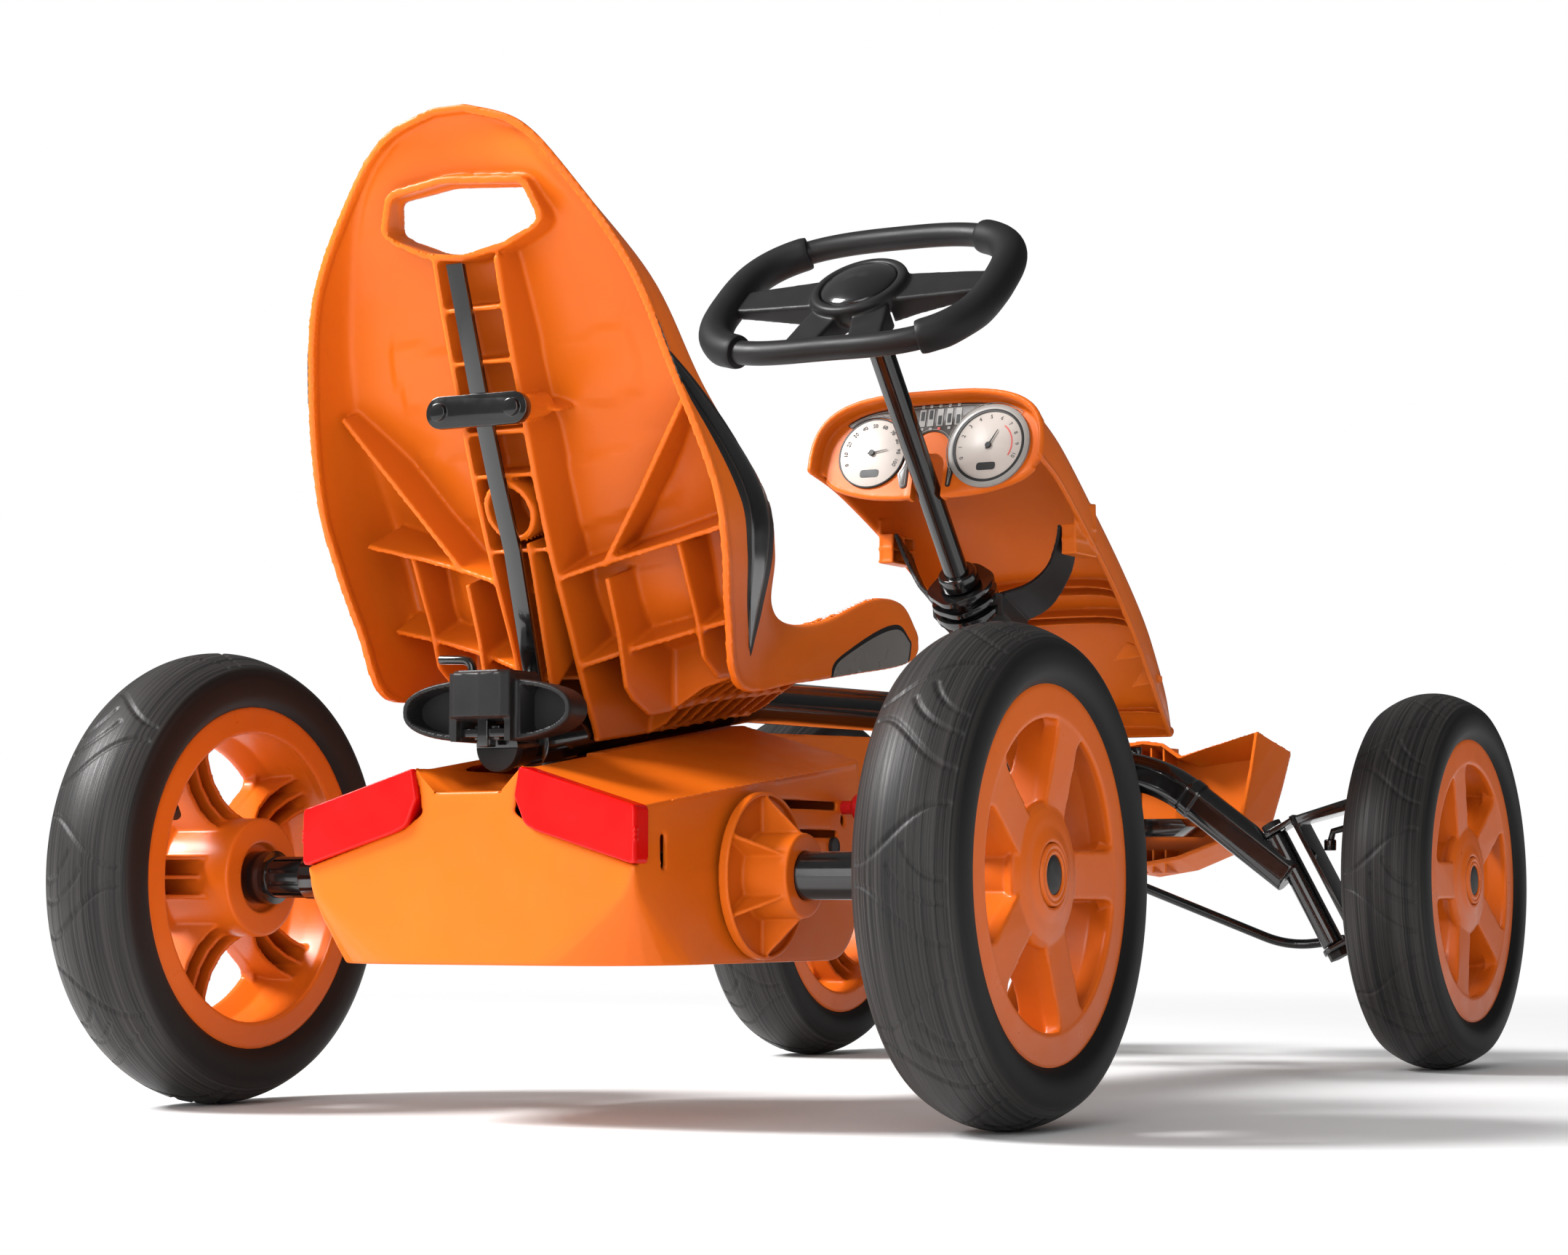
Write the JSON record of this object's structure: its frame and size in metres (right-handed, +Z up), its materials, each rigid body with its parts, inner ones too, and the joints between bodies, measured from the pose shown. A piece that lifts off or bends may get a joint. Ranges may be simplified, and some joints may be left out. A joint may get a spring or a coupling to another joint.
{
  "type": "pedal go kart",
  "caption": "Child's pedal go kart with moulded seat, housing, front spoiler and dash, wide tyres, chain drive, swinging front axle, tie-rod steering and a sliding seat.",
  "frame": {"origin": "on the ground, midway between the axles and between the wheels", "axes": "+X to the driver's left, +Y to the rear, +Z up"},
  "size_m": [0.7898, 1.399, 0.7796],
  "materials": {
    "black_steel": "semi-gloss black paint",
    "orange_plastic": "moulded, satin gloss",
    "orange_rim": "moulded, gloss",
    "tyre_rubber": "moulded tread, dull",
    "black_rubber": "dull",
    "red_lens": "reflector with moulded facets",
    "red_plastic": "gloss",
    "zinc_steel": "zinc plated",
    "chain_steel": "oiled",
    "black_plastic": "fine grain",
    "soft_grip": "soft touch, dull",
    "gloss_black": "high gloss",
    "dash_brown": "smooth panel film",
    "gauge_face": "printed dial"
  },
  "bodies": {
    "frame": {"main_frame": "black_steel", "rear_housing": "orange_plastic", "hub_cover_left": "orange_plastic", "hub_cover_right": "orange_plastic", "rear_light_left": "red_lens", "rear_light_right": "red_lens", "drive_bearings": "zinc_steel", "steering_bushes": "black_plastic", "chain": "chain_steel", "console_bracket": "black_steel", "dash_console": "orange_plastic", "dash_panel": "dash_brown", "dash_gauges": "gauge_face", "front_spoiler": "orange_plastic", "axle_pivot_bolt": "zinc_steel"},
    "gear_lever": {"gear_lever": "red_plastic"},
    "rear_axle": {"axle_shaft": "zinc_steel", "drive_collar": "black_steel", "axle_sprocket": "zinc_steel", "axle_nuts": "zinc_steel", "rear_left_rim": "orange_rim", "rear_left_tyre": "tyre_rubber", "rear_left_cap": "orange_rim", "rear_left_valve": "black_rubber"},
    "rear_right_wheel": {"rear_right_rim": "orange_rim", "rear_right_tyre": "tyre_rubber", "rear_right_cap": "orange_rim", "rear_right_valve": "black_rubber"},
    "crank": {"crankset": "black_steel", "crank_sprocket": "zinc_steel"},
    "pedal_left": {"pedal_left": "black_plastic"},
    "pedal_right": {"pedal_right": "black_plastic"},
    "front_axle": {"front_axle": "black_steel"},
    "knuckle_left": {"knuckle_left": "black_steel", "kingpin_left": "zinc_steel", "spindle_nut_left": "zinc_steel"},
    "knuckle_right": {"knuckle_right": "black_steel", "kingpin_right": "zinc_steel", "spindle_nut_right": "zinc_steel"},
    "tie_rod_left": {"tie_rod_left": "black_steel"},
    "tie_rod_right": {"tie_rod_right": "black_steel"},
    "front_left_wheel": {"front_left_rim": "orange_rim", "front_left_tyre": "tyre_rubber", "front_left_cap": "orange_rim", "front_left_valve": "black_rubber"},
    "front_right_wheel": {"front_right_rim": "orange_rim", "front_right_tyre": "tyre_rubber", "front_right_cap": "orange_rim", "front_right_valve": "black_rubber"},
    "steering": {"steering_column": "black_steel", "steering_collar": "black_steel", "steering_wheel": "black_plastic", "wheel_grips": "soft_grip", "wheel_cap": "gloss_black"},
    "seat": {"seat_shell": "orange_plastic", "seat_stay": "black_steel", "stay_clamp": "black_steel", "seat_trims": "black_plastic", "seat_carriage": "black_steel"},
    "seat_handle": {"seat_handle": "black_plastic"}
  },
  "joints": [
    {"name": "rear_axle_spin", "type": "hinge", "parent": "frame", "child": "rear_axle", "pos_m": [0, 0.51, 0.183], "axis": [1, 0, 0], "continuous": true},
    {"name": "rear_right_wheel_spin", "type": "hinge", "parent": "rear_axle", "child": "rear_right_wheel", "pos_m": [-0.3527, 0.51, 0.183], "axis": [1, 0, 0], "continuous": true},
    {"name": "crank_spin", "type": "hinge", "parent": "frame", "child": "crank", "pos_m": [0, -0.21031, 0.255], "axis": [1, 0, 0], "continuous": true},
    {"name": "pedal_left_spin", "type": "hinge", "parent": "crank", "child": "pedal_left", "pos_m": [0.116, -0.31556, 0.21669], "axis": [1, 0, 0], "continuous": true},
    {"name": "pedal_right_spin", "type": "hinge", "parent": "crank", "child": "pedal_right", "pos_m": [-0.116, -0.10507, 0.29331], "axis": [1, 0, 0], "continuous": true},
    {"name": "front_axle_swing", "type": "hinge", "parent": "frame", "child": "front_axle", "pos_m": [0, -0.51, 0.297], "axis": [0, 1, 0], "range_deg": [-2.5, 2.5]},
    {"name": "steering_turn", "type": "hinge", "parent": "frame", "child": "steering", "pos_m": [0, -0.181, 0.431], "axis": [0, 0.6401, 0.7683], "range_deg": [-28, 28]},
    {"name": "knuckle_left_steer", "type": "hinge", "parent": "front_axle", "child": "knuckle_left", "pos_m": [0.205, -0.51, 0.183], "axis": [-0.4741, 0, 0.8805], "range_deg": [-28.6, 28.6]},
    {"name": "tie_rod_left_turn", "type": "hinge", "parent": "knuckle_left", "child": "tie_rod_left", "pos_m": [0.24103, -0.552, 0.11608], "axis": [-0.3535, 0.0852, 0.9315], "range_deg": [-28.1, 28.1]},
    {"name": "front_left_wheel_spin", "type": "hinge", "parent": "knuckle_left", "child": "front_left_wheel", "pos_m": [0.3457, -0.51, 0.183], "axis": [1, 0, 0], "continuous": true},
    {"name": "knuckle_right_steer", "type": "hinge", "parent": "front_axle", "child": "knuckle_right", "pos_m": [-0.205, -0.51, 0.183], "axis": [0.4741, 0, 0.8805], "range_deg": [-28.6, 28.6]},
    {"name": "tie_rod_right_turn", "type": "hinge", "parent": "knuckle_right", "child": "tie_rod_right", "pos_m": [-0.24103, -0.552, 0.11608], "axis": [0.3535, 0.0852, 0.9315], "range_deg": [-28.1, 28.1]},
    {"name": "front_right_wheel_spin", "type": "hinge", "parent": "knuckle_right", "child": "front_right_wheel", "pos_m": [-0.3457, -0.51, 0.183], "axis": [1, 0, 0], "continuous": true},
    {"name": "seat_slide", "type": "slide", "parent": "frame", "child": "seat", "axis": [0, -0.9907, 0.1363], "range_m": [0, 0.13]},
    {"name": "seat_handle_lift", "type": "hinge", "parent": "seat", "child": "seat_handle", "pos_m": [0, 0.612, 0.316], "axis": [1, 0, 0], "range_deg": [0, 18]},
    {"name": "gear_lever_turn", "type": "hinge", "parent": "frame", "child": "gear_lever", "pos_m": [-0.15, 0.372, 0.227], "axis": [1, 0, 0], "range_deg": [-30, 30]}
  ],
  "couplings": [
    {"joint": "crank_spin", "follows": "rear_axle_spin", "ratio": 0.66667},
    {"joint": "knuckle_left_steer", "follows": "steering_turn", "ratio": 1.0175},
    {"joint": "knuckle_right_steer", "follows": "steering_turn", "ratio": 1.0175},
    {"joint": "tie_rod_left_turn", "follows": "steering_turn", "ratio": -0.9992},
    {"joint": "tie_rod_right_turn", "follows": "steering_turn", "ratio": -0.9992}
  ]
}
